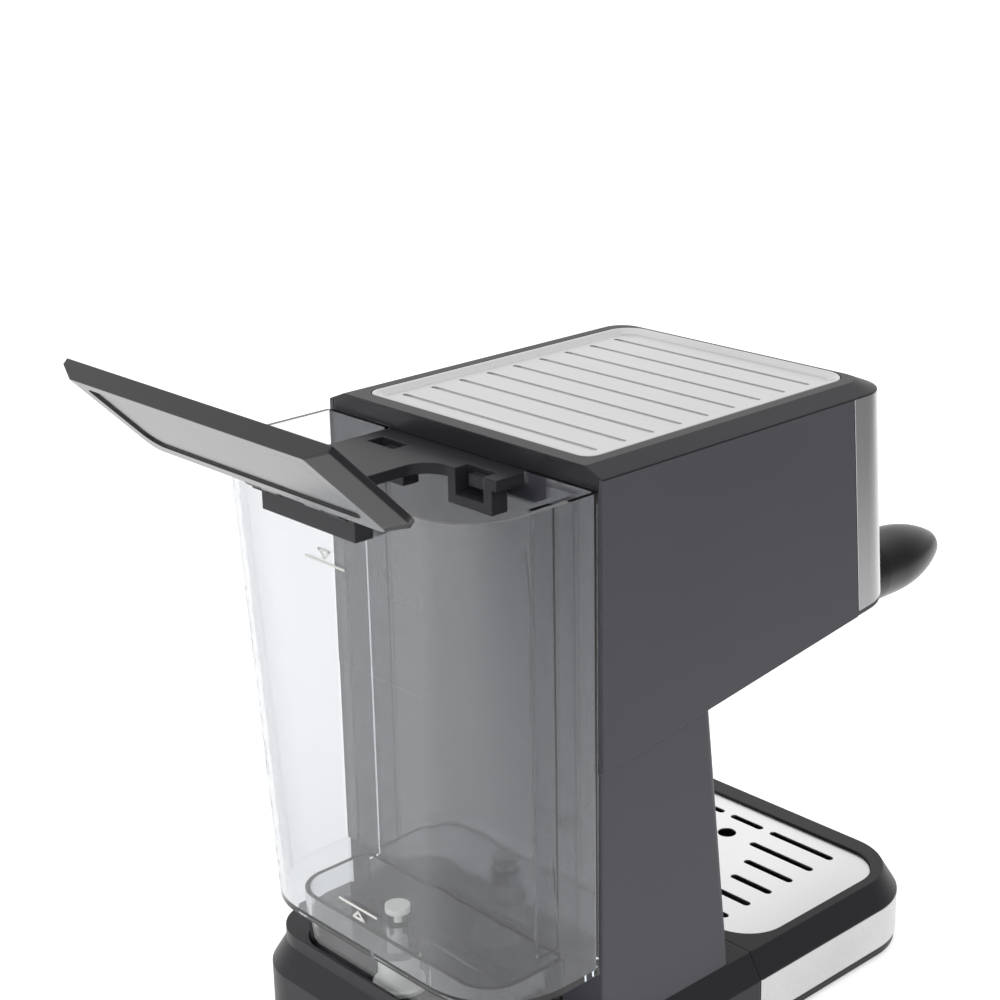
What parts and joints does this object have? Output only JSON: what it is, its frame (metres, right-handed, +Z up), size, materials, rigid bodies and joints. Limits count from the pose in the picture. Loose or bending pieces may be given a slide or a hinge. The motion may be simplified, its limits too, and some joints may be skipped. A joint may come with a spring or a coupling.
{
  "type": "pump espresso machine",
  "caption": "Compact pump espresso machine with a leaning steel front, a slotted drip tray, a ribbed cup plate, a portafilter and a clear rear water tank with its lid open.",
  "frame": {"origin": "middle of the bounding box, on the table under the rubber feet", "axes": "+Z up, -Y to the front where the portafilter handle points, +Y to the tank"},
  "size_m": [0.194, 0.5032, 0.3508],
  "materials": {
    "black_plastic": "satin moulded black",
    "charcoal_plastic": "satin charcoal",
    "rubber": "matte",
    "screw_steel": "plated",
    "brushed_steel": "brushed",
    "clear_plastic": "clear, polished",
    "white_plastic": "moulded white",
    "pump_body": "moulded coil",
    "bracket_steel": "zinc plated",
    "hose": "silicone",
    "boiler_alloy": "as cast",
    "element_steel": "plain steel",
    "sensor": "capped sensors",
    "group_alloy": "cast and polished",
    "handle_plastic": "satin black",
    "button_plastic": "black with a steel look face",
    "lens": "amber, translucent",
    "board": "coated board",
    "valve_brass": "turned brass",
    "wand_steel": "polished tube"
  },
  "bodies": {
    "machine": {"base_plate": "black_plastic", "base_shell": "black_plastic", "top_cover": "black_plastic", "cord_gland": "black_plastic", "front_frame": "black_plastic", "column_shell": "charcoal_plastic", "upper_housing": "charcoal_plastic", "rubber_feet": "rubber", "inlet_seal": "rubber", "pump_mounts": "rubber", "group_gasket": "rubber", "boiler_seal": "rubber", "base_screws": "screw_steel", "boiler_bolts": "screw_steel", "group_screws": "screw_steel", "shower_screw": "screw_steel", "front_panel": "brushed_steel", "cup_plate": "brushed_steel", "inlet_socket": "white_plastic", "switches": "white_plastic", "pump": "pump_body", "pump_bracket": "bracket_steel", "suction_hose": "hose", "pressure_hose": "hose", "boiler_lower": "boiler_alloy", "boiler_upper": "boiler_alloy", "heating_element": "element_steel", "shower_screen": "element_steel", "thermostats": "sensor", "thermal_fuse": "sensor", "group_head": "group_alloy", "indicator_lenses": "lens", "control_board": "board", "steam_valve": "valve_brass", "wand_nut": "valve_brass", "steam_pipe": "wand_steel"},
    "tank": {"tank_body": "clear_plastic", "tank_grip": "black_plastic", "lid_hinge_block": "black_plastic", "lid_hinge_pin": "screw_steel", "valve_guide": "white_plastic"},
    "lid": {"tank_lid": "black_plastic"},
    "valve": {"valve_plunger": "white_plastic"},
    "tray": {"drip_tray": "black_plastic", "tray_band": "brushed_steel"},
    "grid": {"drip_grid": "brushed_steel"},
    "portafilter": {"filter_holder": "group_alloy", "filter_basket": "element_steel", "basket_clip": "screw_steel", "spout": "handle_plastic", "handle_grip": "handle_plastic"},
    "power_button": {"power_button": "button_plastic"},
    "coffee_button": {"coffee_button": "button_plastic"},
    "steam_button": {"steam_button": "button_plastic"},
    "steam_knob": {"steam_knob": "button_plastic", "steam_stem": "valve_brass"},
    "wand": {"steam_wand": "wand_steel", "froth_sleeve": "handle_plastic"}
  },
  "joints": [
    {"name": "tank_lift", "type": "slide", "parent": "machine", "child": "tank", "axis": [0, 0, 1], "range_m": [0, 0.12]},
    {"name": "lid_hinge", "type": "hinge", "parent": "tank", "child": "lid", "pos_m": [0, 0.1963, 0.3009], "axis": [1, 0, 0], "range_deg": [0, 135]},
    {"name": "valve_lift", "type": "slide", "parent": "tank", "child": "valve", "axis": [0, 0, 1], "range_m": [0, 0.002]},
    {"name": "tray_pull", "type": "slide", "parent": "machine", "child": "tray", "axis": [0, -1, 0], "range_m": [0, 0.14]},
    {"name": "grid_lift", "type": "slide", "parent": "tray", "child": "grid", "axis": [0, 0, 1], "range_m": [0, 0.04]},
    {"name": "portafilter_lock", "type": "hinge", "parent": "machine", "child": "portafilter", "pos_m": [0, -0.036, 0.172], "axis": [0, 0, 1], "range_deg": [-45, 0]},
    {"name": "power_button_press", "type": "slide", "parent": "machine", "child": "power_button", "axis": [0, 0.9959, -0.0904], "range_m": [0, 0.002], "stiffness_N_per_m": 400},
    {"name": "coffee_button_press", "type": "slide", "parent": "machine", "child": "coffee_button", "axis": [0, 0.9959, -0.0904], "range_m": [0, 0.002], "stiffness_N_per_m": 400},
    {"name": "steam_button_press", "type": "slide", "parent": "machine", "child": "steam_button", "axis": [0, 0.9959, -0.0904], "range_m": [0, 0.002], "stiffness_N_per_m": 400},
    {"name": "steam_knob_turn", "type": "hinge", "parent": "machine", "child": "steam_knob", "pos_m": [0.044, -0.09159, 0.276], "axis": [0, -0.9959, 0.0904], "range_deg": [0, 270]},
    {"name": "wand_swivel", "type": "hinge", "parent": "machine", "child": "wand", "pos_m": [0.044, -0.07, 0.195], "axis": [0, 0, 1], "range_deg": [-20, 70]}
  ]
}
